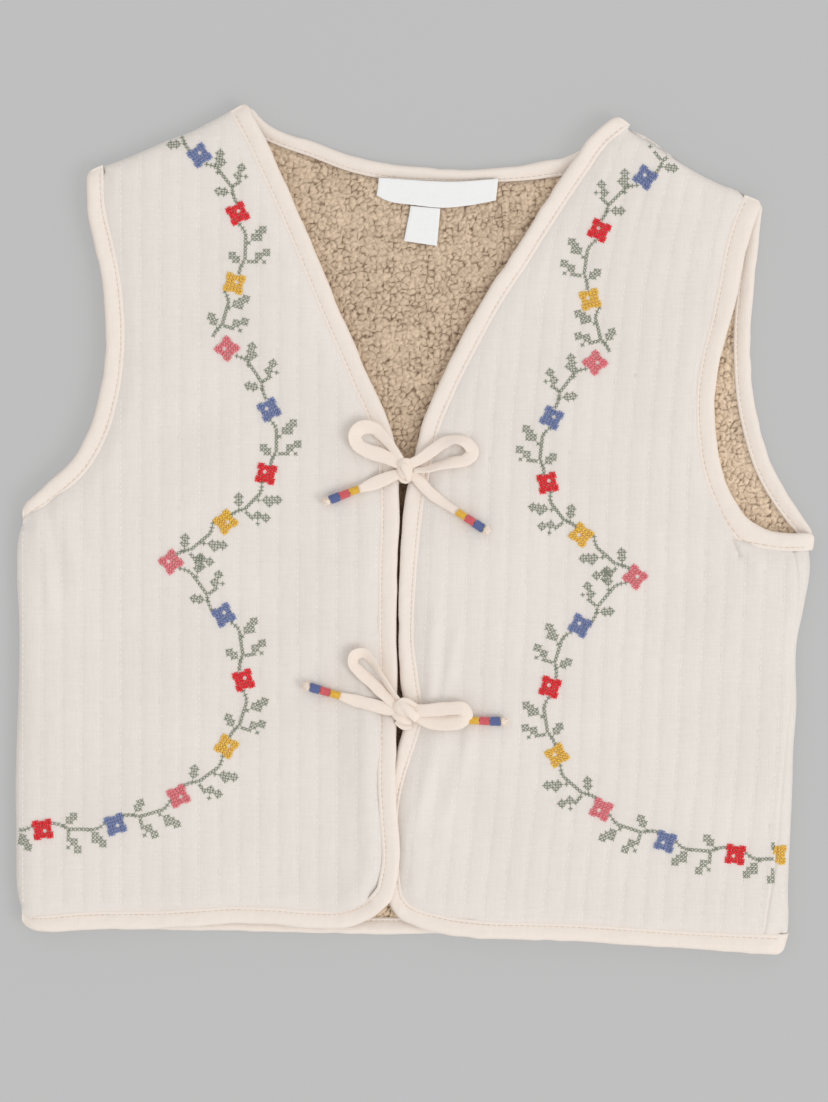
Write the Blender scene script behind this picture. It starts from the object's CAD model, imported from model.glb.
"""Looks of a child's quilted waistcoat with cross-stitched fronts and two tie bows, laid flat.

Sizes are millimetres in the frame's own directions, and turn into metres where a mesh is made.
"Right" and "left" are the wearer's, so the right front lies at -X.
"""
import math

import bpy
import numpy as np
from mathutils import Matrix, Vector
from mathutils.geometry import delaunay_2d_cdt


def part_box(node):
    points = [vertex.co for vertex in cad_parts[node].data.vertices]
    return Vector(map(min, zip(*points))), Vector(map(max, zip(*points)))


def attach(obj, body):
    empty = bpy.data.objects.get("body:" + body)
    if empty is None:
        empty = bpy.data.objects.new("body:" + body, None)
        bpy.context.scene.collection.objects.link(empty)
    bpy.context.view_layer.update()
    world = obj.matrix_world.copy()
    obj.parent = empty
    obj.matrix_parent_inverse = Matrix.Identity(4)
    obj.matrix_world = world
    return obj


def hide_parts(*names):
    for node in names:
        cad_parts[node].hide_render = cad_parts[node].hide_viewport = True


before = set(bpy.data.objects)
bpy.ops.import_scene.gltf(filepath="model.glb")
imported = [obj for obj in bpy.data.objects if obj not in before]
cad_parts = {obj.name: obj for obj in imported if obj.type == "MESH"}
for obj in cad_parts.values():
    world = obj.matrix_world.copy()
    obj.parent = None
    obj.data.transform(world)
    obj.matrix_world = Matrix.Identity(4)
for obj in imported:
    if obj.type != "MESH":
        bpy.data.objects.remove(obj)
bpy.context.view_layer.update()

# ---------------------------------------------------------------------------------------------
# Back. One cut of quilted cream muslin with its outer side down on the surface. Its edges turn
# up where the side and shoulder seams join it to the fronts.
MUSLIN = (0.80, 0.745, 0.695)
GRID = 4.0                  # mesh of a layer that hardly shows
BACK_STEP = 2.0             # from point to point along the outline of the back
FRONT_STEP = 1.2            # and along the outline of a front
RIM_AT = 0.7                # height over its underside at which the back is widest
STRAIGHT = 0.012            # turn of an outline, in radians, under which a point is left out
CORNER = 0.55               # and over which it is a sharp corner
REPEAT = 61                 # lumps of noise before they repeat
BACK_TOP = 2.2              # height of the back's inner side, which nothing shows
BACK_TURN = 6.0             # how far in from a seam the back starts to turn up
BACK_RIM = 5.65             # height at which the back meets the fronts
CHANNEL = 8.68              # quilting, from seam to seam
BACK_FIRST = 5.5            # x of one of those seams
UNDER_SEAM = 0.35           # how far a seam of the back stands off the surface
WAVE = 0.31416              # metres from band to band of a wave texture at a scale of one
# Where the two fronts roll over at the shoulders. Columns: x, y.
RIGHT_SHOULDER = [(-136.8, 159.5), (-127.6, 162.8), (-108.5, 170.9), (-96.4, 175.6),
                  (-90.2, 178.9), (-84.0, 182.2), (-80.1, 184.4)]
LEFT_SHOULDER = [(93.9, 176.0), (95.6, 174.8), (98.6, 172.9), (102.0, 170.9), (106.0, 168.5),
                 (110.4, 165.7), (121.9, 158.4), (136.2, 151.4), (144.3, 148.1), (146.3, 146.3)]
# Where edges are pulled askew: the wearer's left armhole, below and at the shoulder, and the two
# front edges. Columns: x, y, shift in x, shift in y, reach, sharpness.
ARMHOLE_PULLED = [(143.7, -1.5, -2.8, -4.1, 9.0, 1.0), (141.5, 129.8, -2.3, 0.3, 26.0, 2.0)]
RIGHT_EDGE_PULLED = [(-6.5, 4.0, 0.7, 0.0, 12.0, 2.0), (-6.5, -66.0, 0.45, 0.0, 9.0, 2.0)]
LEFT_EDGE_PULLED = [(32.5, 98.0, -1.25, 0.0, 16.0, 2.0), (18.0, 72.0, -0.9, 0.0, 18.0, 2.0),
                    (44.0, 124.0, 0.6, 0.0, 13.0, 2.0), (-3.0, 13.0, -0.7, 0.0, 9.0, 2.0),
                    (-5.0, -66.0, -0.5, 0.0, 9.0, 2.0), (-6.5, -95.0, -0.8, 0.0, 10.0, 2.0)]


def solid(node):
    """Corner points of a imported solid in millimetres, each one once, and its triangles."""
    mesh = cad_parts[node].data
    mesh.calc_loop_triangles()
    points = np.array([v.co for v in mesh.vertices]) * 1000
    points, index = np.unique(points.round(3), axis=0, return_inverse=True)
    return points, index.reshape(-1)[np.array([t.vertices for t in mesh.loop_triangles])]


def joined_up(pairs):
    """Pairs of neighbours put in order, as one run or one closed loop."""
    beside = {}
    for a, b in pairs:
        beside.setdefault(a, []).append(b)
        beside.setdefault(b, []).append(a)
    run = [min(beside, key=lambda one: len(beside[one]))]
    seen = set(run)
    while True:
        ahead = [one for one in beside[run[-1]] if one not in seen]
        if not ahead:
            return run
        run.append(ahead[0])
        seen.add(ahead[0])


def lengths(run):
    """How far along a run each of its points lies."""
    return np.r_[0, np.cumsum(np.linalg.norm(np.diff(run, axis=0), axis=1))]


def smooth(run, spacing):
    """A smooth curve through the rows of a run, as rows evenly spaced along it."""
    length = lengths(run[:, :2])
    slope = np.gradient(run, length, axis=0)
    at = np.linspace(0, length[-1], max(2, round(length[-1] / spacing) + 1))
    i = np.clip(np.searchsorted(length, at, side="right") - 1, 0, len(run) - 2)
    span = (length[i + 1] - length[i])[:, None]
    t = (at - length[i])[:, None] / span
    return ((1 + 2 * t) * (1 - t) ** 2 * run[i] + t * t * (3 - 2 * t) * run[i + 1]
            + t * (1 - t) ** 2 * span * slope[i] + t * t * (t - 1) * span * slope[i + 1])


def outline(node, height, spacing):
    """The outline of a packed panel at a height over its underside, smooth but for corners."""
    points, triangles = solid(node)
    level = abs(points[:, 2] - points[:, 2].min() - height) < 0.01
    flat = {}
    for triangle in triangles:
        for a, b in zip(triangle, np.roll(triangle, 1)):
            if level[a] and level[b]:
                pair = (min(a, b), max(a, b))
                flat[pair] = flat.get(pair, 0) + int(level[triangle].all())
    loop = points[joined_up([pair for pair, count in flat.items() if count < 2])][:, :2]

    def turns(loop):
        before, after = loop - np.roll(loop, 1, 0), np.roll(loop, -1, 0) - loop
        cross = before[:, 0] * after[:, 1] - before[:, 1] * after[:, 0]
        return abs(np.arctan2(cross, (before * after).sum(1)))

    loop = loop[turns(loop) > STRAIGHT]
    sharp = np.flatnonzero(turns(loop) > CORNER)
    loop = np.roll(loop, -sharp[0], 0)
    stops = np.r_[sharp - sharp[0], len(loop)]
    loop = np.vstack([loop, loop[:1]])
    return np.vstack([smooth(loop[a:b + 1], spacing)[:-1] for a, b in zip(stops, stops[1:])])


def distance(points, line, reach=12.0):
    """How far each point is from a run of points, seen from above, up to a reach."""
    points, start, step = points[:, :2], line[:-1, :2], np.diff(line[:, :2], axis=0)
    low, high = np.minimum(start, start + step), np.maximum(start, start + step)
    square = (step ** 2).sum(1)
    found = np.full(len(points), reach)
    tile = np.floor(points / reach).astype(int) @ (1, 1000)
    order = np.argsort(tile, kind="stable")
    for tiled in np.split(order, np.flatnonzero(np.diff(tile[order])) + 1):
        part = points[tiled]
        near = ((high > part.min(0) - reach) & (low < part.max(0) + reach)).all(1)
        if near.any():
            away = part[:, None] - start[near]
            along = np.clip((away * step[near]).sum(2) / square[near], 0, 1)
            away = np.linalg.norm(away - along[..., None] * step[near], axis=2).min(1)
            found[tiled] = np.minimum(reach, away)
    return found


def nearest(points, lines):
    """How far each point is from the nearest of several runs."""
    return np.min([distance(points, line) for line in lines], axis=0)


def closed(loop):
    """An outline that comes back to its first point."""
    return np.vstack([loop, loop[:1]])


def area_in(loop):
    """The area inside a closed outline, less than nothing where it runs clockwise."""
    x, y = loop.T
    return (x * np.roll(y, -1) - y * np.roll(x, -1)).sum() / 2


def unit(vectors):
    """Vectors brought to a length of one."""
    return vectors / np.linalg.norm(vectors, axis=-1, keepdims=True)


def outward(loop):
    """Unit vectors straight out of a closed outline, at its points."""
    ahead = np.roll(loop, -1, 0) - np.roll(loop, 1, 0)
    out = np.stack([ahead[:, 1], -ahead[:, 0]], axis=1)
    return math.copysign(1, area_in(loop)) * unit(out)


def inside(points, loop):
    """Whether each point lies inside a closed outline, seen from above."""
    x, y = points[:, 0], points[:, 1]
    found = np.zeros(len(points), bool)
    for (x0, y0), (x1, y1) in zip(loop[:, :2], np.roll(loop[:, :2], -1, 0)):
        if y0 != y1:
            found ^= ((y0 > y) != (y1 > y)) & (x < x0 + (y - y0) * (x1 - x0) / (y1 - y0))
    return found


def noise(x, y, seed):
    """Smooth seeded noise from -1 to 1 whose lumps are about one unit across."""
    lattice = np.random.default_rng(seed).uniform(-1, 1, (REPEAT, REPEAT))
    i, j = np.floor(x).astype(int), np.floor(y).astype(int)
    s, t = x - i, y - j
    s, t = s * s * (3 - 2 * s), t * t * (3 - 2 * t)
    i, j, over, up = i % REPEAT, j % REPEAT, (i + 1) % REPEAT, (j + 1) % REPEAT
    low = lattice[i, j] * (1 - s) + lattice[over, j] * s
    high = lattice[i, up] * (1 - s) + lattice[over, up] * s
    return low * (1 - t) + high * t


def add(material, kind, sockets=(), **settings):
    """Add a shader node; a socket is given a value, or the output that feeds it."""
    made = material.node_tree.nodes.new("ShaderNode" + kind)
    for name, value in settings.items():
        setattr(made, name, value)
    for name, value in dict(sockets).items():
        if isinstance(value, bpy.types.NodeSocket):
            material.node_tree.links.new(value, made.inputs[name])
        else:
            made.inputs[name].default_value = value
    return made.outputs


def fibrous(name, roughness, gloss, nap, nap_roughness=0.5):
    """A new material for cloth or thread, and the place on the object that its texture reads."""
    made = bpy.data.materials.new(name)
    made.use_nodes = True
    shader = made.node_tree.nodes["Principled BSDF"]
    shader.inputs["Roughness"].default_value = roughness
    shader.inputs["Specular IOR Level"].default_value = gloss
    shader.inputs["Sheen Weight"].default_value = nap
    shader.inputs["Sheen Roughness"].default_value = nap_roughness
    return made, add(made, "TexCoord")["Object"]


def shaded(made, share, dark, light, bump):
    """Colour a material from dark to light by a share, and roughen it with a bump."""
    shader = made.node_tree.nodes["Principled BSDF"]
    mixed = add(made, "Mix", {"Factor": share, "A": (*dark, 1), "B": (*light, 1)},
                data_type="RGBA")
    made.node_tree.links.new(mixed[2], shader.inputs["Base Color"])
    made.node_tree.links.new(bump["Normal"], shader.inputs["Normal"])
    return made


def woven(name, colour, thread=0.42, depth=0.05, shade=0.06, roughness=0.92):
    """Plain-woven cotton: crossing threads, slubs along them, and a soft nap."""
    made, place = fibrous(name, roughness, 0.25, 0.12)
    warp, weft = (add(made, "TexWave", {"Vector": place, "Scale": WAVE / (thread * 0.001),
                                        "Distortion": 1.2, "Detail": 1.0, "Detail Scale": 0.6},
                      bands_direction=way)["Fac"] for way in "XY")
    cloth = add(made, "Math", {0: warp, 1: weft}, operation="ADD")
    slubs = []
    for scale in ((90, 1300, 500), (1300, 90, 500)):
        streak = add(made, "Mapping", {"Vector": place, "Scale": scale})
        slubs.append(add(made, "TexNoise", {"Vector": streak["Vector"], "Scale": 1.0,
                                            "Detail": 2.0})["Fac"])
    slub = add(made, "Math", {0: slubs[0], 1: slubs[1]}, operation="ADD")
    cloud = add(made, "TexNoise", {"Vector": place, "Scale": 28.0, "Detail": 3.0})
    tone = add(made, "Math", {0: slub["Value"], 1: 0.7, 2: cloud["Fac"]},
               operation="MULTIPLY_ADD")
    fade = add(made, "MapRange", {"Value": tone["Value"], "From Min": 0.8, "From Max": 1.6})
    darker = [c * (1 - shade * k) for c, k in zip(colour, (1.0, 1.05, 1.15))]
    lighter = [min(1.0, c * (1 + 0.4 * shade)) for c in colour]
    crease = add(made, "TexNoise", {"Vector": place, "Scale": 240.0, "Detail": 3.0})
    low = add(made, "Bump", {"Height": crease["Fac"], "Distance": 0.00022, "Strength": 0.7})
    rough = add(made, "Bump", {"Height": slub["Value"], "Distance": 0.00006, "Strength": 0.8,
                               "Normal": low["Normal"]})
    fine = add(made, "Bump", {"Height": cloth["Value"], "Distance": depth * 0.001,
                              "Strength": 0.8, "Normal": rough["Normal"]})
    return shaded(made, fade["Result"], darker, lighter, fine)


def show(name, points, faces, finish, slot, *stands_for):
    """Make one piece of the garment, smooth but for sharp edges."""
    mesh = bpy.data.meshes.new(name)
    mesh.from_pydata((np.asarray(points) * 0.001).tolist(), [], [list(f) for f in faces])
    mesh.materials.append(finish)
    mesh.shade_smooth()
    mesh.set_sharp_from_angle(angle=math.radians(55))
    piece = bpy.data.objects.new(name, mesh)
    bpy.context.scene.collection.objects.link(piece)
    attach(piece, "root")
    if stands_for:
        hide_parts(*stands_for)
    return piece


def grid_over(loop, across, up):
    """Points of an even grid over an outline."""
    low, high = loop.min(0) - 1, loop.max(0) + 1
    xs, ys = np.meshgrid(np.arange(low[0], high[0], across), np.arange(low[1], high[1], up))
    return np.stack([xs.ravel(), ys.ravel()], axis=1)


def layer(name, loop, grid, clear, shaped, flat, finish, slot, *stands_for):
    """A closed layer of cloth, shaped on one side at the grid's points and flat on the other."""
    grid = grid[inside(grid, loop)]
    grid = grid[distance(grid, closed(loop)) > clear]
    rim = list(range(len(loop)))
    flat_points = [Vector(p) for p in np.vstack([loop, grid])]
    placed, _, faces, origin, _, _ = delaunay_2d_cdt(flat_points, [], [rim], 1, 1e-5)
    placed = np.array([p[:] for p in placed])
    now = {old: new for new, olds in enumerate(origin) for old in olds}
    rim = [now[i] for i in rim]
    over = len(placed)
    heights = shaped(placed)
    points = np.vstack([np.c_[placed, heights], np.c_[placed[rim], np.full(len(rim), flat)]])
    under = list(range(over, over + len(rim)))
    if area_in(loop) < 0:
        rim, under = rim[::-1], under[::-1]
    walls = [(a, d, c, b) for a, b, c, d in zip(rim, rim[1:] + rim[:1],
                                                 under[1:] + under[:1], under)]
    faces = list(faces) + walls + [under[::-1]]
    if flat > heights.mean():
        faces = [tuple(reversed(face)) for face in faces]
    return show(name, points, faces, finish, slot, *stands_for)


def redrawn(loop, line):
    """A closed outline that follows a line instead, between the line's two ends."""
    line = smooth(np.array(line), FRONT_STEP)
    first, last = (int(np.linalg.norm(loop - end, axis=1).argmin()) for end in line[[0, -1]])
    if (last - first) % len(loop) > len(loop) // 2:
        first, last, line = last, first, line[::-1]
    rest = np.roll(loop, -last, 0)[:(first - last) % len(loop) + 1]
    return np.vstack([rest[1:-1], line])


def pulled(points, rows):
    """Points drawn askew. Rows: x, y, shift in x, shift in y, reach, sharpness."""
    shift = np.zeros_like(points)
    for x, y, over, up, reach, sharp in rows:
        away = np.hypot(points[:, 0] - x, points[:, 1] - y)
        shift += np.exp(-(away / reach) ** sharp)[:, None] * (over, up)
    return points + shift


back_loop = outline("back_shell", RIM_AT, BACK_STEP)
right_loop = redrawn(outline("right_front", 0.0, FRONT_STEP), RIGHT_SHOULDER)
left_loop = redrawn(outline("left_front", 0.0, FRONT_STEP), LEFT_SHOULDER)
right_loop = pulled(right_loop, RIGHT_EDGE_PULLED)
left_loop = pulled(left_loop, ARMHOLE_PULLED + LEFT_EDGE_PULLED)
muslin = woven("cream muslin", MUSLIN)


def back_underside(points):
    """Height of the back's outer cloth: quilted flat on the surface, turned up at the seams."""
    across = ((points[:, 0] - BACK_FIRST) / CHANNEL) % 1
    height = UNDER_SEAM * np.abs(2 * across - 1) ** 6
    turn = np.clip(1 - nearest(points, side_seams + shoulder_seams) / BACK_TURN, 0, 1)
    return height + (BACK_RIM - height) * (1 - np.sqrt(1 - turn ** 2))


def between(loop, start, end):
    """The stretch of a closed outline from the point nearest start to that nearest end."""
    first = int(np.linalg.norm(loop - start, axis=1).argmin())
    last = int(np.linalg.norm(loop - end, axis=1).argmin())
    ahead = (last - first) % len(loop)
    if ahead > len(loop) // 2:
        return between(loop, end, start)
    return np.roll(loop, -first, 0)[:ahead + 1]


side_seams = [between(right_loop, (-173, -166), (-175, 2)),
              between(left_loop, (162, -177), (175, -8))]
shoulder_seams = [between(right_loop, (-138, 157), (-80, 184)),
                  between(left_loop, (148, 146), (96, 176))]
# At the sides the back ends right under the rolled edges of the fronts.
for line in side_seams:
    back_loop = redrawn(back_loop, line)
back = layer("back_cloth", back_loop, grid_over(back_loop, CHANNEL / 6, GRID), 0.7,
             back_underside, BACK_TOP, muslin, "shell", "back_shell")

# ---------------------------------------------------------------------------------------------
# Lining. Sand-coloured curly fleece, knitted, over the whole inside of the back. Its curls are
# made where they show: in the neck, in the open armhole, between the fronts and at the hem.
SAND = (0.84, 0.655, 0.475)
SAND_SHADE = (0.125, 0.066, 0.032)
UNDER_LINING = 2.25         # height of the lining's underside
GROUND = 2.95               # top of the knitted ground that the curls stand on
EVEN_PILE = 0.35            # brightness of that ground
BASE = 3.8                  # height at the foot of the curls
CURL_RISE = 1.0             # how high a curl stands over its foot
CURL_ROUND = 1.4            # how far in from its edge a curl is round
CURL = 2.8                  # size of one curl
FINE = 1.3                  # size of the locks in it
NICK = 0.35                 # half width of the gaps between locks
SPOTS = 97                  # curls before their places repeat
PILE = 0.5                  # mesh of the curls
SET_IN = 3.0                # how far the lining stops short of the side and shoulder seams


def cells(x, y, size, seed):
    """Distance to the nearest and the second nearest of scattered spots, and the first's number."""
    rng = np.random.default_rng(seed)
    shift = rng.uniform(0.08, 0.92, (SPOTS, SPOTS, 2))
    x, y = x / size, y / size
    i, j = np.floor(x).astype(int), np.floor(y).astype(int)
    first, second = np.full(len(x), 9.0), np.full(len(x), 9.0)
    number = np.zeros(len(x), int)
    for di in (-1, 0, 1):
        for dj in (-1, 0, 1):
            a, b = (i + di) % SPOTS, (j + dj) % SPOTS
            away = np.hypot(i + di + shift[a, b, 0] - x, j + dj + shift[a, b, 1] - y)
            nearer = away < first
            second = np.where(nearer, first, np.minimum(second, away))
            number = np.where(nearer, a * SPOTS + b, number)
            first = np.where(nearer, away, first)
    return first, second, number


def bell(away, width):
    """One in the middle, falling off smoothly to nothing well past a width."""
    return np.exp(-(away / width) ** 2)


def curly(name):
    """Fleece: pale curls with brown shade down between them, and a fine matted surface."""
    made, place = fibrous(name, 1.0, 0.1, 0.25, 0.6)
    depth = add(made, "Attribute", attribute_name="pile")["Fac"]
    wool = add(made, "TexNoise", {"Vector": place, "Scale": 900.0, "Detail": 4.0,
                                  "Roughness": 0.7})
    cloud = add(made, "TexNoise", {"Vector": place, "Scale": 45.0, "Detail": 2.0})
    lit = add(made, "Math", {0: wool["Fac"], 1: 0.45, 2: depth}, operation="MULTIPLY_ADD")
    lit = add(made, "Math", {0: cloud["Fac"], 1: 0.25, 2: lit["Value"]},
              operation="MULTIPLY_ADD")
    ramp = add(made, "MapRange", {"Value": lit["Value"], "From Min": 0.35, "From Max": 1.3})
    bump = add(made, "Bump", {"Height": wool["Fac"], "Distance": 0.0005, "Strength": 0.9})
    return shaded(made, ramp["Result"], SAND_SHADE, SAND, bump)


def set_in(loop, seams, far):
    """A closed outline drawn in where it runs along seams, less and less up to 7 mm from them."""
    near = np.clip((7 - nearest(loop, seams)) / 4, 0, 1)
    return loop - far * near[:, None] * outward(loop)


def piled(piece, values):
    """Give a piece the brightness of its pile at each of its points."""
    shade = piece.data.attributes.new("pile", "FLOAT", "POINT")
    shade.data.foreach_set("value", np.asarray(values, np.float32))


fleece = curly("sand fleece")
lining_loop = set_in(outline("back_lining", RIM_AT, BACK_STEP), side_seams + shoulder_seams,
                     SET_IN)


def ground(points):
    """Height of the knitted ground, a little uneven."""
    return GROUND + 0.1 * noise(points[:, 0] / 6, points[:, 1] / 6, 5)


lining = layer("lining", lining_loop, grid_over(lining_loop, GRID, GRID), 1.5, ground,
               UNDER_LINING, fleece, "lining", "back_lining")
piled(lining, np.full(len(lining.data.vertices), EVEN_PILE))


def pile(name, x_range, y_range, lit=1.0):
    """The curls over one stretch of the lining that no front covers, brighter by a factor."""
    xs, ys = np.arange(*x_range, PILE), np.arange(*y_range, PILE)
    x, y = (one.ravel() for one in np.meshgrid(xs, ys))
    at = np.stack([x, y], axis=1)
    room = np.where(inside(at, lining_loop), 1, -1) * distance(at, closed(lining_loop))
    for loop in (right_loop, left_loop):
        away = np.where(inside(at, loop), -1, 1) * distance(at, closed(loop))
        room = np.minimum(room, away)
    # The curls stray from even cells, and so do their ragged edges.
    bent_x = x + 0.9 * noise(x / 2.6, y / 2.6, 11) + 0.25 * noise(x / 1.1, y / 1.1, 13)
    bent_y = y + 0.9 * noise(x / 2.6, y / 2.6, 12) + 0.25 * noise(x / 1.1, y / 1.1, 14)
    first, second, number = cells(bent_x, bent_y, CURL, 21)
    edge = np.maximum(0, (second - first) * CURL + 0.18 * noise(x / 0.7, y / 0.7, 26))
    first, second, _ = cells(bent_x, bent_y, FINE, 22)
    nick = bell((second - first) * FINE, NICK)
    size = np.random.default_rng(23).uniform(0.6, 1.0, SPOTS * SPOTS)[number]
    # In places two curls part wide, in others they mat together.
    parted = np.clip(0.72 + 0.6 * noise(x / 2.2, y / 2.2, 27), 0.42, 1)
    crack = bell(edge, 0.26 + 0.18 * parted) * parted
    curl = (1 - bell(edge, CURL_ROUND) * (0.35 + 0.65 * parted)) * size
    grain = noise(x / 0.8, y / 0.8, 24)
    height = BASE + CURL_RISE * curl - 0.12 * nick + 0.12 * grain
    height += 0.3 * noise(x / 14, y / 14, 25)
    # Towards the rim of the stretch the pile is pressed down to its ground, and shaded.
    height = GROUND + (height - GROUND) * np.clip((room + 0.4) / 1.6, 0.08, 1)
    tone = 0.53 + 0.28 * size - 0.62 * crack - 0.10 * nick + 0.16 * grain
    tone = np.clip(lit * tone * (0.55 + 0.45 * np.clip(room / 2.5, 0, 1)), 0, 1.2)
    kept = (room > -0.8).reshape(len(ys), len(xs))
    number = np.arange(len(x)).reshape(len(ys), len(xs))
    whole = kept[:-1, :-1] & kept[1:, :-1] & kept[:-1, 1:] & kept[1:, 1:]
    quads = np.stack([number[:-1, :-1][whole], number[:-1, 1:][whole],
                      number[1:, 1:][whole], number[1:, :-1][whole]], axis=1)
    used, quads = np.unique(quads, return_inverse=True)
    points = np.stack([x, y, height], axis=1)[used]
    piled(show(name, points, quads.reshape(-1, 4), fleece, "lining"), tone[used])


pile("neck_fleece", (-66, 84), (20, 176))
pile("gap_fleece", (-16, 4), (-154, 20), lit=0.12)
pile("hem_fleece", (-24, 2), (-180, -154), lit=1.5)
pile("armhole_fleece", (124, 172), (-5, 146), lit=1.2)

# ---------------------------------------------------------------------------------------------
# Fronts. Cream muslin over thin padding, quilted in upright channels, and rolled over into the
# back at the side and the shoulder. The seams are lines of small running stitches.
UNDER_FRONT = 5.3           # height of the underside of a front
AT_SEAM = 3.9               # thickness of a front on a quilting seam
AT_BINDING = 2.9            # where it is pressed into its binding
AT_SIDE = 0.5               # where it rolls over into the back
IN_BINDING = 0.9            # cloth that goes on inside the binding
CHANNEL_RISE = 0.45         # how high a channel stands over its seams
SWELL = 0.35                # how far the padding swells and sinks from place to place
PUCKER = 0.13               # height of the small puckers along a seam
PULL = 0.12                 # how deep a stitch pulls the cloth in
PULL_REACH = 1.4            # and how far to its sides
ROLL = 9.0                  # how far in from the side and shoulder a front starts to roll over
PRESS = 7.0                 # how far in from a binding it is pressed flat
STITCH = 2.6                # from one running stitch to the next
STITCH_LONG = 1.75          # length of one
THREAD = 0.15               # radius of the sewing thread
THREAD_TIP = 0.45           # share of it left where a stitch goes into the cloth
RIGHT_QUILTING = (-163.4, 8.63)     # x of one quilting seam, and from there to the next
LEFT_QUILTING = (5.4, 8.73)
STITCH_WHITE = (0.90, 0.87, 0.84)
# Columns: y, shift in x of the quilting.
UPRIGHT = np.array([(-190.0, 0.0), (190.0, 0.0)])
LEFT_LEAN = np.array([(-190.0, -11.6), (-157.0, -9.0), (-141.0, -7.2), (-128.0, -5.8),
                      (-117.0, -4.5), (-106.0, -3.6), (-93.0, -2.8), (-60.0, -1.7),
                      (-31.0, 0.0), (21.6, 1.3), (48.0, 2.6), (74.0, 5.3), (103.0, 7.9),
                      (127.0, 12.3), (150.0, 17.6), (190.0, 29.0)])
# Folds. Columns: x, y at one end, x, y at the other, half width, height.
RIGHT_FOLDS = [
    (-17.5, -100.0, -16.0, -146.0, 11.0, 3.7),
    (-16.0, -146.0, -22.0, -158.0, 9.0, 3.2),
    (-155.0, 8.0, -148.0, -22.0, 5.0, 1.5),
    (-164.0, 2.0, -160.0, -30.0, 4.0, 1.2),
    (-44.0, -44.0, -22.0, -48.0, 4.0, 0.8),
]
LEFT_FOLDS = [
    (9.0, -40.0, 7.0, -74.0, 3.2, 1.2),
    (18.0, -50.0, 13.0, -76.0, 3.0, 1.0),
    (12.0, -90.0, 2.0, -124.0, 3.6, 1.2),
    (24.0, -92.0, 16.0, -122.0, 3.4, 0.9),
    (138.0, 4.0, 150.0, -16.0, 4.0, 1.6),
]
# Creases pulled in below the armhole. Columns: x, y at one end, x, y at the other, width, depth.
LEFT_CREASES = [
    (139.7, -4.5, 142.9, -11.8, 0.9, 1.1),
    (142.9, -11.8, 149.0, -14.4, 0.9, 0.6),
    (162.0, -7.6, 168.0, -9.8, 0.8, 0.7),
]
# The seam that joins the back's turned edge to the wearer's left front. Columns: x, y.
LEFT_SIDE_SEAM = np.array([(166.8, -9.7), (168.5, -20.2), (168.5, -31.2), (167.6, -44.4),
                           (168.0, -57.6), (165.4, -75.2), (163.2, -97.2), (161.5, -114.8),
                           (160.2, -134.6), (158.4, -150.0), (155.8, -165.4), (154.0, -178.0)])


def to_left(line):
    """Unit vectors to the left of a run, at its points."""
    ahead = np.gradient(line, axis=0)
    return unit(np.stack([-ahead[:, 1], ahead[:, 0]], axis=1))


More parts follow.
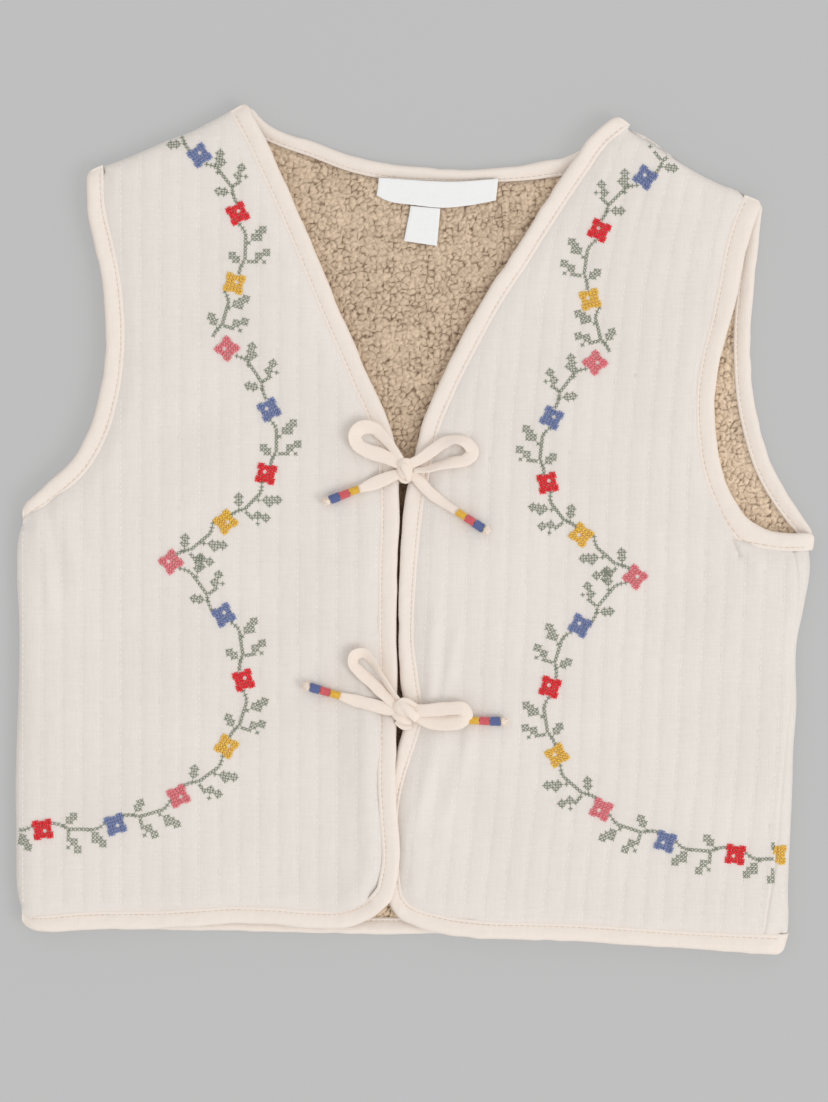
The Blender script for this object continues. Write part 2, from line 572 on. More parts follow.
class Front:
    """The shape of one front: call it with points for the height of its outer cloth."""

    def __init__(self, loop, rolled, lean, first, pitch, folds, seed, creases=()):
        self.loop, self.rolled, self.lean, self.first = loop, rolled, lean, first
        self.pitch, self.folds, self.seed, self.creases = pitch, folds, seed, creases
        bound = np.flatnonzero(nearest(loop, rolled) > 1.0)
        runs = np.split(bound, np.flatnonzero(np.diff(bound) > 1) + 1)
        if len(runs) > 2:
            runs = [np.r_[runs[-1], runs[0]], *runs[1:-1]]
        self.bound = [loop[run] for run in runs if len(run) > 1]

    def shift(self, y):
        """How far the quilting leans over at a height of the garment."""
        return np.interp(y, *self.lean.T)

    def upright(self, step):
        """Even steps across the front and a little beyond it, one of them on a seam."""
        found = self.first + step * np.arange(-400, 401)
        low, high = self.loop[:, 0].min() - 32, self.loop[:, 0].max() + 12
        return found[(found > low) & (found < high)]

    def __call__(self, points):
        x, y = points[:, 0], points[:, 1]
        at_bound = nearest(points, self.bound)
        roll = np.sqrt(1 - (1 - np.clip(nearest(points, self.rolled) / ROLL, 0, 1)) ** 2)
        press = np.sin(0.5 * math.pi * np.clip(at_bound / PRESS, 0, 1))
        # Each channel is a pillow of its own, puckered and pulled in along its seams.
        u = x - self.shift(y)
        across = ((u - self.first) / self.pitch) % 1
        number = np.floor((u - self.first) / self.pitch)
        pillow = 1 - np.abs(2 * across - 1) ** 2.6
        rise = CHANNEL_RISE * (1 + 0.22 * noise(number * 3.7, y / 26, self.seed))
        near = bell(np.minimum(across, 1 - across) * self.pitch, PULL_REACH)
        pucker = PUCKER * noise(u / 3.2 + number * 5, y / 2.1, self.seed + 1) * (0.35 + near)
        pull = PULL * near * np.cos(2 * math.pi * y / STITCH)
        height = AT_BINDING + (AT_SEAM - AT_BINDING) * press
        height = height + (rise * pillow + pucker - pull) * press * roll
        for line, width, depth in self.creases:
            height = height - depth * bell(distance(points, line), width)
        height += SWELL * noise(x / 34, y / 46, self.seed + 2) * press
        ridge = np.zeros(len(x))
        for x0, y0, x1, y1, half, top in self.folds:
            run = np.array([x1 - x0, y1 - y0])
            long = np.hypot(*run)
            along = ((x - x0) * run[0] + (y - y0) * run[1]) / long ** 2
            beyond = np.maximum(0, np.maximum(-along, along - 1)) * long
            wide = np.abs(run[0] * (y - y0) - run[1] * (x - x0)) / long
            ridge = np.maximum(ridge, top * bell(wide, half) * bell(beyond, 2 * half))
        # Inside the bindings the cloth slopes down, clear of their lips.
        height -= np.where(inside(points, self.loop), 0.0, at_bound)
        height = AT_SIDE + (height + ridge - AT_SIDE) * roll
        return UNDER_FRONT + height

    def cut(self):
        """The cut edge of the front: its outline, and a little more inside the bindings."""
        bound = np.clip((nearest(self.loop, self.rolled) - 1.5) / 3, 0, 1)[:, None]
        return self.loop + IN_BINDING * bound * outward(self.loop)

    def grid(self):
        """Points over the front, eight to a channel and closer than a stitch along it."""
        rows = np.arange(self.loop[:, 1].min() + 0.4, self.loop[:, 1].max(), STITCH / 2)
        u, y = (one.ravel() for one in np.meshgrid(self.upright(self.pitch / 8), rows))
        even = np.stack([u + self.shift(y), y], axis=1)
        close = []
        for line, width, _ in self.creases:
            even = even[distance(even, line) > 1.7 * width]
            side = width * to_left(line)
            close += [line + share * side for share in (-1.6, -0.8, 0, 0.8, 1.6)]
        return np.vstack([even, *close])

    def stitches(self):
        """Start and end of each running stitch, seen from above."""
        low, high = self.loop[:, 1].min(), self.loop[:, 1].max()
        rng = np.random.default_rng(self.seed + 3)
        found = []
        for u in self.upright(self.pitch):
            y = np.arange(low + rng.uniform(0, STITCH), high, STITCH)
            y = y + rng.uniform(-0.15, 0.15, len(y))
            x = u + self.shift(y) + rng.uniform(-0.08, 0.08, len(y))
            ends = np.stack([x, y, u + self.shift(y + STITCH_LONG), y + STITCH_LONG], axis=1)
            found.append(ends)
        found = np.vstack(found)
        clear = [inside(found[:, i:i + 2], self.loop)
                 & (distance(found[:, i:i + 2], closed(self.loop)) > 1.2) for i in (0, 2)]
        return found[clear[0] & clear[1]]


def square_to(ahead):
    """Unit vectors square to others: level ones, and ones over them."""
    across = unit(np.cross(ahead, (0.0, 0.0, 1.0)))
    return across, np.cross(across, ahead)


def circle(count):
    """Even angles round a circle."""
    return 2 * math.pi * np.arange(count) / count


def threads(name, paths, radius, finish, slot, sides=5):
    """Short lengths of thread as one mesh. Each path is a row of stations, pointed at its ends."""
    count, stations = paths.shape[:2]
    across, up = square_to(unit(np.gradient(paths, axis=1)))
    thick = np.full(stations, 1.0)
    thick[[0, -1]] = THREAD_TIP
    radius = np.broadcast_to(radius, count)[:, None, None] * thick[:, None]
    rings = []
    for angle in circle(sides):
        rings.append(paths + radius * (math.cos(angle) * across + math.sin(angle) * up))
    points = np.stack(rings, axis=2).reshape(-1, 3)
    number = np.arange(len(points)).reshape(count, stations, sides)
    beside = np.roll(number, -1, axis=2)
    quads = np.stack([number[:, :-1], beside[:, :-1], beside[:, 1:], number[:, 1:]], axis=3)
    faces = quads.reshape(-1, 4)[:, ::-1].tolist()
    faces += number[:, 0].tolist() + number[:, -1, ::-1].tolist()
    return show(name, points, faces, finish, slot)


def spun(name, colour, roughness=0.55, shade=0.25, scale=900.0):
    """Cotton thread with a soft lustre, uneven along its length."""
    made, place = fibrous(name, roughness, 0.35, 0.15)
    grain = add(made, "TexNoise", {"Vector": place, "Scale": scale, "Detail": 3.0})
    dark = [c * (1 - shade) for c in colour]
    light = [min(1.0, c * (1 + 0.5 * shade)) for c in colour]
    bump = add(made, "Bump", {"Height": grain["Fac"], "Distance": 0.0001, "Strength": 0.6})
    return shaded(made, grain["Fac"], dark, light, bump)


def laid_on(surface, ends, lift, sink=0.12, stations=(0, 0.22, 0.5, 0.78, 1)):
    """Paths of short stitches over a surface, going down into it at both ends."""
    share = np.array(stations)[None, :, None]
    flat = ends[:, None, :2] * (1 - share) + ends[:, None, 2:4] * share
    heights = surface(flat.reshape(-1, 2)).reshape(flat.shape[:2])
    bow = np.where(np.isin(stations, (0, 1)), -sink, 1.0)
    heights = heights + np.where(bow > 0, lift, bow)
    return np.concatenate([flat, heights[..., None]], axis=2)


left_creases = [(smooth(LEFT_SIDE_SEAM, 1.3), 0.6, 0.6)]
for x0, y0, x1, y1, width, depth in LEFT_CREASES:
    left_creases.append((smooth(np.array([(x0, y0), (x1, y1)]), 1.0), width, depth))
right_front = Front(right_loop, (side_seams[0], shoulder_seams[0]), UPRIGHT, *RIGHT_QUILTING,
                    RIGHT_FOLDS, 31)
left_front = Front(left_loop, (side_seams[1], shoulder_seams[1]), LEFT_LEAN, *LEFT_QUILTING,
                   LEFT_FOLDS, 41, left_creases)
white_thread = spun("white sewing thread", STITCH_WHITE, shade=0.06)
for name, front, flat, area in (("right_front", right_front, (0.168, 0.358), 0.0433),
                                ("left_front", left_front, (0.168, 0.366), 0.0450)):
    made = layer(name + "_cloth", front.cut(), front.grid(), 0.5, front, UNDER_FRONT, muslin,
                 "shell", name)
    threads(name + "_stitches", laid_on(front, front.stitches(), 0.02), THREAD, white_thread,
            "shell")

# ---------------------------------------------------------------------------------------------
# Bindings. Strips of warmer plain-woven cotton folded over every raw edge and topstitched
# close to their inner edge, a little drawn up by the sewing.
BINDING_CREAM = (0.855, 0.765, 0.69)
TOPSTITCH_CREAM = (0.72, 0.60, 0.50)
BINDING_WIDE = 7.7          # from its fold to its inner edge
BACK_THICK, FRONT_THICK = 4.4, 3.8  # thickness of the bindings on the back and on the fronts
BINDING_STEP = 1.3          # mesh along a binding
WALL = 0.55                 # thickness of the folded cotton
TOPSTITCH = 2.5             # from one stitch of the topstitching to the next
TOPSTITCH_LONG = 2.0        # length of one
STITCH_LINE = 0.845         # share of the binding's width from its fold
END_ROUND = 3.2             # rounding of its end
END_IN = 0.34               # share of the width that the rounding takes off at the fold
END_RINGS = np.array([0.0, 0.12, 0.4, 0.8, 1.3, 1.9, 2.5, 3.2])     # closer mesh at an end
END_MESH = 3.7              # where that closer mesh gives way to the even one
FLATTEST = 0.42             # share of its thickness left at an end that is rolled over
TOPSTITCH_THREAD = 0.14     # radius of its thread
# How a binding is pulled askew, at its fold and at its inner edge, in the same columns as the
# edges of the fronts.
FOLD_PULLED = [(148.2, 5.2, -2.0, 0.2, 2.6, 1.5), (149.2, 129.8, -1.3, 0.0, 16.0, 2.0)]
STRIP_PULLED = {"left_armhole_binding": (FOLD_PULLED, ARMHOLE_PULLED),
                "right_front_binding": (RIGHT_EDGE_PULLED, RIGHT_EDGE_PULLED),
                "left_front_binding": (LEFT_EDGE_PULLED, LEFT_EDGE_PULLED)}
# Section of the outer face, from its upper lip round the fold to its lower lip. Columns: share
# of the width from the fold, share of the thickness.
SECTION = np.array([
    (1.07, 0.72), (1.02, 0.80), (0.95, 0.84), (0.89, 0.825), (0.845, 0.79), (0.80, 0.83),
    (0.71, 0.90), (0.56, 0.97), (0.40, 1.02), (0.24, 1.02), (0.11, 0.93), (0.03, 0.76),
    (0.0, 0.50), (0.03, 0.28), (0.11, 0.11), (0.25, 0.02), (0.5, 0.0), (1.0, 0.0)])


def bound_edge(node, thick):
    """Rows along a packed binding: x, y of its fold, its floor, and x, y of its inner edge."""
    points, triangles = solid(node)
    stacked = {}
    for i, (x, y) in enumerate(points[:, :2]):
        stacked.setdefault((round(x, 2), round(y, 2)), []).append(i)
    runs = []
    for low, high in ((0, 0.6 * thick), (0.6 * thick, thick)):
        feet = set()
        for pair in stacked.values():
            if len(pair) == 2 and low < abs(points[pair[1]][2] - points[pair[0]][2]) < high:
                feet.add(min(pair, key=lambda i: points[i][2]))
        pairs = {(min(a, b), max(a, b)) for t in triangles
                 for a, b in ((t[0], t[1]), (t[1], t[2]), (t[2], t[0]))
                 if a in feet and b in feet}
        runs.append(points[joined_up(pairs)])
    fold, inner = runs
    if np.linalg.norm(fold[0, :2] - inner[0, :2]) > np.linalg.norm(fold[0, :2] - inner[-1, :2]):
        inner = inner[::-1]
    run = np.c_[fold[:, :2], inner[:, 2], inner[:, :2]]
    at_fold, at_edge = STRIP_PULLED.get(node, ((), ()))
    run[:, :2] = pulled(run[:, :2], at_fold)
    run[:, 3:] = pulled(run[:, 3:], at_edge)
    return smooth(run if run[0, 1] > run[-1, 1] else run[::-1], BINDING_STEP)


def swept(rings):
    """Faces between rings of points, closed at both ends."""
    count, sides = rings.shape[:2]
    number = np.arange(count * sides).reshape(count, sides)
    beside = np.roll(number, -1, axis=1)
    quads = np.stack([number[:-1], beside[:-1], beside[1:], number[1:]], axis=2).reshape(-1, 4)
    return rings.reshape(-1, 3), quads.tolist() + [number[0, ::-1].tolist(), number[-1].tolist()]


def folded_strip(name, node, thick, seed, past, tucked):
    """One stretch of binding with its topstitching.

    For its upper and its lower end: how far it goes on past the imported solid, and what share
    of its width is tucked in there at the inner edge.
    """
    run = bound_edge(node, thick)
    first, last = (one / np.linalg.norm(one[:2]) * far
                   for one, far in zip((run[0] - run[1], run[-1] - run[-2]), past))
    run = smooth(np.vstack([run[0] + first, run, run[-1] + last]), BINDING_STEP)
    along = lengths(run[:, :2])
    at = np.r_[END_RINGS, along[(along > END_MESH) & (along < along[-1] - END_MESH)],
               along[-1] - END_RINGS[::-1]]
    run = np.stack([np.interp(at, along, column) for column in run.T], axis=1)
    along, to_end = at, np.minimum(at, at[-1] - at)
    rounded = 1 - np.sqrt(1 - (1 - np.minimum(1, to_end / END_ROUND)) ** 2)
    way = run[:, 3:] - run[:, :2]
    run[:, :2] += END_IN * rounded[:, None] * way
    run[:, 3:] -= np.interp(along, along[[0, -1]], tucked)[:, None] * rounded[:, None] * way
    fold, floor, inner = run[:, :2], run[:, 2], run[:, 3:]
    # A front's binding rolls over with it; a back's lies on the surface and only thins a little.
    roll = 1 - np.minimum(1, to_end / ROLL)
    flatter = np.maximum(FLATTEST, np.sqrt(1 - roll ** 2))[:, None]
    if floor.min() < 1:
        flatter = (1 - 0.5 * rounded)[:, None]
    section = SECTION * (BINDING_WIDE, thick)
    profile = np.vstack([section, (section + WALL * to_left(section))[::-1]])
    share, level = (profile / (BINDING_WIDE, thick)).T
    soft = np.sin(math.pi * np.clip(share, 0, 1)) * (level > 0.4)
    free = np.clip(1 - abs(share) / 0.8, 0, 1)
    way = inner - fold
    # The sewing draws it up: short drag lines, a slow swell, and a fold that wanders.
    s, across = np.meshgrid(along, share, indexing="ij")
    drag = 0.20 * noise(s / 2.3 + 1.5 * across, 2 * across, seed)
    swell = 0.20 * noise(s / 9, 1.5 * across, seed + 1)
    wander = 0.22 * noise(along / 6, 0 * along, seed + 2)[:, None] * free
    flat = fold[:, None] + across[..., None] * way[:, None]
    flat = flat - wander[..., None] * unit(way)[:, None]
    height = floor[:, None] + flatter * (level * thick + soft * (drag + swell))
    rings = np.concatenate([flat, height[..., None]], axis=2)
    ahead = fold[1] - fold[0]
    if way[0, 0] * ahead[1] - way[0, 1] * ahead[0] > 0:
        rings = rings[:, ::-1]
    made = show(name, *swept(rings), binding_cotton, "binding", node)
    # The topstitching, from end to end along its line.
    starts = np.arange(2.8, along[-1] - 4.2, TOPSTITCH)
    line = np.c_[fold + STITCH_LINE * way, floor + 0.80 * thick * flatter[:, 0]]
    at = starts[:, None] + TOPSTITCH_LONG * np.array([0, 0.15, 0.5, 0.85, 1])
    paths = np.stack([np.interp(at, along, line[:, i]) for i in range(3)], axis=2)
    paths[:, :, 2] += np.array([-0.15, 0.06, 0.1, 0.06, -0.15])
    threads(name + "_topstitching", paths, TOPSTITCH_THREAD, binding_thread, "binding")


binding_cotton = woven("warm cream cotton", BINDING_CREAM, thread=0.34, depth=0.03, shade=0.035,
                       roughness=0.85)
binding_thread = spun("cream topstitch thread", TOPSTITCH_CREAM, shade=0.15)
for index, (node, held_on, past, tucked) in enumerate((
        ("back_neck_binding", "back_cloth", (1.3, 1.3), (0.05, 0.05)),
        ("back_hem_binding", "back_cloth", (0.8, 0.8), (0.05, 0.05)),
        ("back_right_armhole_binding", "back_cloth", (0.8, 0.8), (0.05, 0.05)),
        ("back_left_armhole_binding", "back_cloth", (0.8, 0.8), (0.05, 0.05)),
        ("left_armhole_binding", "left_front_cloth", (0.7, 1.3), (0.05, 0.16)),
        ("right_armhole_binding", "right_front_cloth", (0.7, 0.4), (0.05, 0.18)),
        ("left_front_binding", "left_front_cloth", (1.5, 0.1), (0.05, -0.1)),
        ("right_front_binding", "right_front_cloth", (1.5, 0.1), (0.05, -0.1)))):
    thick = BACK_THICK if held_on == "back_cloth" else FRONT_THICK
    folded_strip(node + "_strip", node, thick, 50 + 7 * index, past, tucked)

# ---------------------------------------------------------------------------------------------
# Embroidery. Cross stitch in six-strand floss, a vine up each front: flowers in four colours,
# and between them a stem with two leaves towards the opening and a small one on the other side.
CROSS = 1.70                # size of one cross of the stems and leaves
FLOWER_CROSS = 1.50         # size of one cross of the flowers
FLOSS = 0.20                # radius of a stroke of the stems and leaves
FLOWER_FLOSS = 0.35         # radius of a stroke of the flowers
# Charts: x is a cross, c one drawn in at the tip of a petal, s one beside it, o a small one in
# the notch between two petals. Rows of a leaf run back along the stem from where it joins, and
# columns away from it.
FLOWER = ["csoosc",
          "sxxxxs",
          "oxx.xo",
          "oxxxxo",
          "sxxxxs",
          "csoosc"]
BIG_LEAF = ["x....",
            ".xxx.",
            ".xxx.",
            "..xxx",
            "...xx"]
LONG_LEAF = ["xxx.x.",
             "..xx..",
             "..xxxx",
             "....xx"]
SMALL_LEAF = ["x...",
              ".xx.",
              ".xxx",
              "..xx"]
# The marks of a flower: size of the cross, and share of its place from the middle.
MARKS = {"x": (1.0, 1.0), "c": (0.9, 0.94), "s": (0.95, 0.97), "o": (0.68, 0.85)}
SPRIG = 30.6                # from flower to flower, as the sprig between them was drawn
JOINT = (9.5, 3.6)          # where the big leaf joins: along from the flower, aside to the leaves
FORK_AT = 6                 # crosses of stem from there to where the other leaves join
STEM_STEP = 1.65            # from cross to cross along the stem
ASIDE_AT = 5.0              # how far along a sprig its shift aside at its start holds
ASIDE_OVER = 21.0           # how far on from there the shift at its end does
# The leaves: chart, side of the stem, crosses along and aside from the joint, and the share of
# the sprig's own moves along and aside that each takes.
LEAVES = [(BIG_LEAF, 1, 1.3, 0.55, 1.0, 1.0), (LONG_LEAF, 1, FORK_AT + 0.5, 0.9, 0.6, 0.3),
          (SMALL_LEAF, -1, FORK_AT + 1.7, -0.8, 0.4, 0.0)]
# Crosses of the stem outside that straight stretch. Columns: crosses along from the joint, aside.
STEM_ENDS = [(-2.8, -1.6), (-1.9, -0.85), (-1.0, -0.3), (7.0, -0.4), (7.9, -0.9), (8.9, -1.2),
             (9.9, -1.4)]
FLOSS_COLOURS = {
    "green": (0.25, 0.285, 0.205),
    "blue": (0.22, 0.275, 0.50),
    "red": (0.88, 0.022, 0.034),
    "yellow": (1.0, 0.575, 0.09),
    "pink": (0.88, 0.245, 0.275),
}
# The flowers down a vine: colour, turn of the flower in degrees, clockwise on the wearer's right
# front and the other way on the left. Then, for the sprig that follows, how far it is drawn
# aside at its start and at its end, and how many crosses its leaves are moved along and aside.
VINE = [("hidden", 0, -7.0, -3.2, 0, 0), ("blue", -36, -0.4, 1.0, -0.6, -1.2),
        ("red", -26, 0.3, 0.6, 0.6, 0.3), ("yellow", 14, -4.6, -8.0, 0, 0),
        ("pink", -138, 0.8, 0.4, -0.6, -1.0), ("blue", -117, -0.2, 0.7, 0.6, 0.3),
        ("red", -78, 0.2, -1.3, 0.3, 0.4), ("yellow", 51, -3.7, -2.4, 1.3, 0.4),
        ("pink", -130, -0.1, -3.2, 0, 0), ("blue", -30, 1.6, -1.7, 0, 0),
        ("red", -17, 0.3, -0.8, 0.6, 0.3), ("yellow", 33, 0.9, -2.7, 0.3, 0.4),
        ("pink", 65, -0.3, -3.4, -0.6, 0.4), ("blue", 72, -1.6, -3.5, -0.4, -0.5),
        ("red", 82, -1.5, -2.4, -0.6, -0.2), ("yellow", 85, 0, 0, 0, 0)]
# Middles of those flowers. Columns: x, y.
RIGHT_VINE = [(-113.5, 187.4), (-94.2, 164.1), (-77.4, 138.6), (-78.8, 107.8), (-82.1, 79.2),
              (-63.6, 52.4), (-64.9, 24.2), (-82.7, 3.1), (-106.7, -14.5), (-83.6, -37.8),
              (-74.8, -66.4), (-82.3, -95.5), (-103.4, -117.3), (-131.1, -129.8),
              (-163.0, -132.0), (-193.6, -127.0)]
LEFT_VINE = [(121.5, 176.5), (101.6, 154.4), (81.4, 131.1), (77.4, 100.8), (79.6, 73.0),
             (60.5, 48.8), (58.7, 20.2), (73.5, -2.6), (97.2, -21.1), (73.0, -42.5),
             (59.8, -69.5), (62.9, -99.4), (82.3, -123.2), (110.4, -137.3), (141.2, -143.0),
             (171.8, -143.6)]
# The vine of the left front goes through the side seam; the flower beyond it was stitched on
# the turned edge of the back.
SEAM_AT, PAST_SEAM = 158.4, (159.3, -143.0)


def chart(rows, wanted="x"):
    """Column and row of every cross in a chart, or of every mark of another kind."""
    return [(column, row) for row, line in enumerate(rows)
            for column, mark in enumerate(line) if mark == wanted]


def turned(points, degrees):
    """Points turned clockwise."""
    c, s = math.cos(math.radians(degrees)), math.sin(math.radians(degrees))
    return np.asarray(points, float) @ np.array([[c, -s], [s, c]])


def sprig(start, end, first, last, moved, side):
    """Stem and leaves from one flower to the next: x, y, turn and size of each cross."""
    chord = end - start
    length = np.hypot(*chord)
    way = chord / length
    aside = np.array([way[1], -way[0]]) * side
    slope = (last - first) / ASIDE_OVER
    joint = start + way * JOINT[0] * length / SPRIG
    joint = joint + aside * (JOINT[1] + first + slope * (JOINT[0] - ASIDE_AT))
    way, aside = unit(way + slope * aside), unit(aside - slope * way)
    turn = math.degrees(math.atan2(-way[1], way[0]))
    step = STEM_STEP * length / SPRIG
    found = []

    def put(along, column, back=0):
        place = joint + way * (along * step - back * CROSS) + aside * column * CROSS
        found.append((*place, turn, 1.0))

    for along, column in STEM_ENDS + [(along, 0) for along in range(FORK_AT + 1)]:
        put(along, column)
    along, out = moved
    for rows, to_side, at, off, share_along, share_out in LEAVES:
        for column, row in chart(rows):
            put(at + share_along * along, off + to_side * column + share_out * out, row)
    return found


def flower(middle, turn, side):
    """Crosses of one flower. Those of the left front mirror those of the right."""
    found = []
    for mark, (size, drawn) in MARKS.items():
        for column, row in chart(FLOWER, mark):
            place = np.array([(2.5 - column) * side, 2.5 - row]) * drawn
            found.append((*(middle + turned(place, turn) * FLOWER_CROSS), turn, size))
    return found


def crosses(front, found, cross, floss_radius):
    """Both strokes of every cross on a front, clear of its edges, as paths of thread."""
    spots = np.array(found, float)
    rng = np.random.default_rng(len(spots))
    clear = distance(spots[:, :2], closed(front.loop)) > 1.0
    spots = spots[inside(spots[:, :2], front.loop) & clear]
    middle = spots[:, :2]
    paths = []
    # The lower stroke, then the upper one, which bows over it.
    for over, slant in ((0, 0.25), (1, 0.75)):
        turn = np.radians(spots[:, 2]) + rng.normal(0, 0.05, len(spots))
        reach = spots[:, 3] * cross / math.sqrt(2) * rng.uniform(0.94, 1.05, len(spots))
        angle = -turn + slant * math.pi
        half = np.stack([np.cos(angle), np.sin(angle)], axis=1) * reach[:, None]
        ends = np.concatenate([middle - half, middle + half], axis=1)
        laid = laid_on(front, ends, 0.75 * floss_radius)
        laid[:, 2, 2] += over * 1.5 * floss_radius
        laid[:, (1, 3), 2] += over * 0.5 * floss_radius
        paths.append(laid)
    return np.concatenate(paths)


floss = {name: spun(name + " floss", colour, roughness=0.5, shade=0.32, scale=1500)
         for name, colour in FLOSS_COLOURS.items()}
for front_name, front, vine, side in (("right", right_front, RIGHT_VINE, -1),
                                      ("left", left_front, LEFT_VINE, 1)):
    vine = np.array(vine)
    stitched = {name: [] for name in FLOSS_COLOURS}
    for index, (colour, turn, first, last, *moved) in enumerate(VINE):
        if colour != "hidden":
            stitched[colour] += flower(vine[index], -side * turn, side)
        if index + 1 < len(VINE):
            stitched["green"] += sprig(vine[index], vine[index + 1], first, last, moved, side)
    if side > 0:
        for colour, found in stitched.items():
            stitched[colour] = [one for one in found if one[0] < SEAM_AT]
        cut = flower(np.array(PAST_SEAM), -side * VINE[-1][1], side)
        stitched[VINE[-1][0]] += [one for one in cut if one[0] > SEAM_AT]
    for colour, found in stitched.items():
        cross, radius = (CROSS, FLOSS) if colour == "green" else (FLOWER_CROSS, FLOWER_FLOSS)
        threads(f"{front_name}_vine_{colour}", crosses(front, found, cross, radius), radius,
                floss[colour], "shell")

# ---------------------------------------------------------------------------------------------
# Labels. Two blank pieces of white woven tape sewn flat on the lining below the back neck.
LABEL_WHITE = (0.88, 0.88, 0.875)
TAPE_THICK = 0.55           # with the air under it
TAPE_MESH = 0.8             # its mesh, both ways


def label(name, node, seed, tuck=0.0):
    """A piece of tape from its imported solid, a little bowed, its top tucked under by so much."""
    loop = outline(node, 0.0, TAPE_MESH)
    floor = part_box(node)[0].z * 1000
    top_edge = loop[:, 1].max()
    loop[:, 1] += tuck * np.clip((loop[:, 1] - top_edge + 3) / 2, 0, 1)

    def top(points):
        edge = distance(points, closed(loop))
        fold = 0.12 * bell(edge - 1.1, 0.5)
        wave = 0.18 * noise(points[:, 0] / 9, points[:, 1] / 6, seed)
        return floor + TAPE_THICK + wave + fold - 0.2 * np.exp(-edge / 0.35)

    made = layer(name, loop, grid_over(loop, TAPE_MESH, TAPE_MESH), 0.3, top, floor, tape,
                 "label", node)


tape = woven("white woven tape", LABEL_WHITE, thread=0.25, depth=0.03, shade=0.03,
             roughness=0.5)
label("neck_label", "main_label", 71, tuck=1.2)
label("size_tape", "size_label", 72)

# ---------------------------------------------------------------------------------------------
# Ties. Narrow tubes of the binding's cotton, tied in two bows. Each end is wound with yellow,
# pink and blue thread, and the cotton frays out beyond it.
TIE_CREAM = (0.868, 0.758, 0.668)
QUILTING_TOP = 10.1         # height of the quilting that the bows lie on
TIE_THICK = 1.1             # thickness of a pressed tube of cotton
TIE_SIDES = 22              # corners of its section
# Loops of the bows. Columns: x, y, height of the middle over the quilting, width, and, where it
# is turned about its own run, by how many degrees.
LOOPS = {
    "upper_right": [
        (-5.3, 28.6, 1.9, 4.2), (-8.8, 34.6, 1.8, 4.4, 28.0), (-13.2, 40.0, 2.0, 5.0, 30.0),
        (-18.0, 44.3, 2.2, 6.0, 16.0), (-23.1, 44.3, 2.5, 6.4, 12.0),
        (-26.0, 41.0, 2.9, 6.4, 24.0), (-24.9, 37.3, 2.5, 6.4, 18.0), (-20.7, 34.4, 2.0, 6.3, 8.0),
        (-14.1, 32.2, 1.8, 6.2, 8.0), (-7.9, 29.4, 1.8, 5.0, 8.0), (-4.8, 27.6, 1.8, 4.4)],
    "upper_left": [
        (-2.6, 28.0, 1.7, 4.4), (2.6, 30.6, 1.5, 4.8), (7.9, 34.3, 1.5, 5.3, 4.0),
        (12.8, 37.6, 1.9, 5.4, 18.0), (18.0, 39.2, 2.5, 5.2, 40.0), (23.6, 37.4, 2.7, 5.4, 20.0),
        (25.7, 33.4, 2.5, 5.6, 6.0), (22.9, 30.4, 2.1, 5.6, -8.0), (17.2, 29.2, 2.0, 5.2, -20.0),
        (11.4, 27.8, 2.0, 4.8, -38.0), (5.7, 26.2, 2.0, 4.2, -46.0), (0.0, 25.6, 1.8, 3.4, -40.0)],
    "lower_right": [
        (-5.7, -76.6, 2.0, 3.4, 48.0), (-10.1, -70.8, 2.3, 4.4, 60.0),
        (-14.5, -64.2, 2.5, 4.8, 60.0), (-18.5, -57.8, 2.5, 5.2, 50.0),
        (-22.4, -54.4, 2.4, 5.4, 34.0), (-25.9, -55.4, 2.5, 5.4, 32.0),
        (-26.8, -58.8, 2.5, 5.4, 30.0), (-23.8, -62.7, 2.2, 5.4, 20.0),
        (-18.8, -67.2, 1.8, 5.2, 14.0), (-13.2, -72.8, 1.7, 4.8, 16.0),
        (-7.9, -77.4, 1.8, 4.2, 16.0)],
    "lower_left": [
        (-4.4, -77.9, 1.7, 4.4), (2.6, -79.6, 3.2, 5.2), (9.7, -79.2, 4.1, 5.8, 6.0),
        (16.7, -78.6, 4.7, 6.0, 12.0), (21.4, -78.8, 4.8, 6.0, 16.0),
        (23.4, -81.4, 4.5, 5.6, 24.0), (20.6, -84.0, 3.6, 6.4, 4.0), (15.4, -84.9, 3.1, 7.0, -4.0),
        (9.2, -84.8, 2.7, 6.8, -6.0), (3.1, -83.0, 2.4, 5.4, -6.0), (-1.8, -79.6, 1.9, 4.0)]}
# Their free ends as far as the wound thread, in the same columns.
ENDS = {
    "upper_right": [
        (-4.6, 24.8, 1.3, 3.8), (-8.4, 23.6, 1.2, 4.8), (-14.5, 21.2, 1.1, 5.6),
        (-20.0, 19.0, 1.3, 5.0), (-24.0, 17.5, 2.25, 3.4)],
    "upper_left": [
        (-2.4, 25.4, 1.4, 4.0), (1.6, 21.8, 1.2, 4.8), (6.6, 16.4, 1.1, 4.9),
        (12.3, 11.9, 1.2, 4.2), (18.9, 7.6, 2.25, 3.2)],
    "lower_right": [
        (-6.4, -79.8, 1.5, 4.2), (-10.6, -79.2, 1.5, 5.2), (-18.4, -77.2, 1.7, 5.4),
        (-26.0, -75.2, 1.5, 5.2), (-32.4, -73.3, 2.25, 3.4)],
    "lower_left": [
        (2.0, -82.0, 1.3, 3.4), (8.0, -82.6, 1.7, 3.6), (18.0, -83.8, 1.5, 3.4),
        (24.2, -84.0, 2.3, 3.0)]}
# The strip that comes out from under the lower knot, in the same columns.
LOWER_ROOT = [
    (-7.8, -84.2, 0.2, 3.0), (-4.4, -86.6, 0.1, 3.2), (-1.0, -86.4, 0.1, 3.0)]
